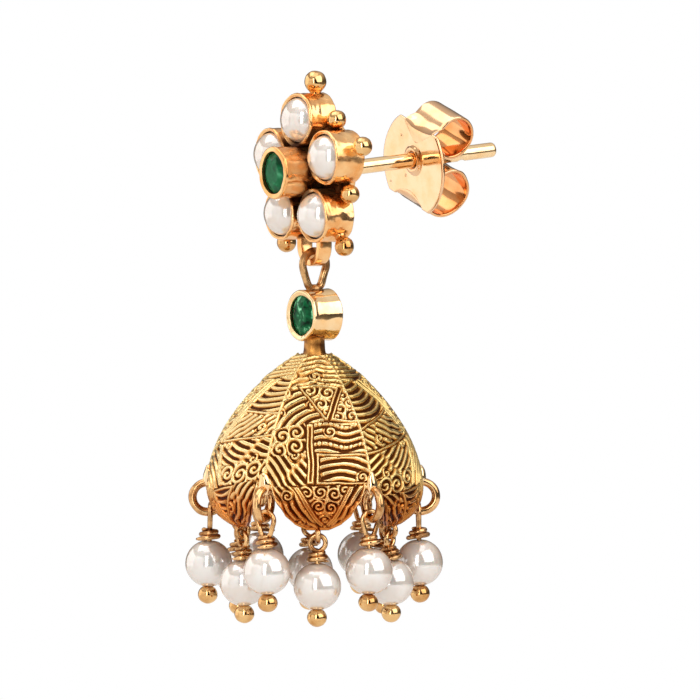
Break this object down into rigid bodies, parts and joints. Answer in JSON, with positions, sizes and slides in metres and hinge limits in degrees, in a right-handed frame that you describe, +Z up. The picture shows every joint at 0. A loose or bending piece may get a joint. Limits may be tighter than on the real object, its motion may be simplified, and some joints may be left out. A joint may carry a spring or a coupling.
{
  "type": "jhumka drop earring",
  "caption": "Jhumka stud earring: a pearl flower on a post with a scroll back, and a swinging domed bell fringed with pearls.",
  "frame": {"origin": "on the post's axis, at the middle of the flower's flat back, where the earring sits against the ear lobe", "axes": "+Z up, the flower faces -Y, the post points to +Y and rises 5 degrees"},
  "size_m": [0.0144, 0.0188, 0.0311],
  "materials": {
    "polished_gold": "polished warm gold with a soft burnish",
    "antique_gold": "antique gold, chased, dark in its recesses",
    "pearl": "lustrous white nacre with a pink tone",
    "emerald": "faceted green stone"
  },
  "bodies": {
    "stud": {"centre_stone": "emerald", "petal_pearl_1": "pearl", "petal_pearl_2": "pearl", "petal_pearl_3": "pearl", "petal_pearl_4": "pearl", "petal_pearl_5": "pearl", "stud_setting": "polished_gold"},
    "scroll_back": {"scroll_back": "polished_gold"},
    "drop": {"bell_drop": "antique_gold", "drop_stone": "emerald", "lobe_pearl_1": "pearl", "lobe_pearl_2": "pearl", "lobe_pearl_3": "pearl", "lobe_pearl_4": "pearl", "lobe_pearl_5": "pearl", "lobe_pearl_6": "pearl", "lobe_pin_1": "polished_gold", "lobe_pin_2": "polished_gold", "lobe_pin_3": "polished_gold", "lobe_pin_4": "polished_gold", "lobe_pin_5": "polished_gold", "lobe_pin_6": "polished_gold", "notch_pearl_1": "pearl", "notch_pearl_2": "pearl", "notch_pearl_3": "pearl", "notch_pearl_4": "pearl", "notch_pearl_5": "pearl", "notch_pearl_6": "pearl", "notch_pin_1": "polished_gold", "notch_pin_2": "polished_gold", "notch_pin_3": "polished_gold", "notch_pin_4": "polished_gold", "notch_pin_5": "polished_gold", "notch_pin_6": "polished_gold"}
  },
  "joints": [
    {"name": "clutch_slide", "type": "slide", "parent": "stud", "child": "scroll_back", "axis": [0, 0.9962, 0.0872], "range_m": [-0.0056, 0.006]},
    {"name": "drop_swing", "type": "hinge", "parent": "stud", "child": "drop", "pos_m": [0, -0.00061, -0.00482], "axis": [0, 1, 0], "range_deg": [-35, 35]}
  ]
}
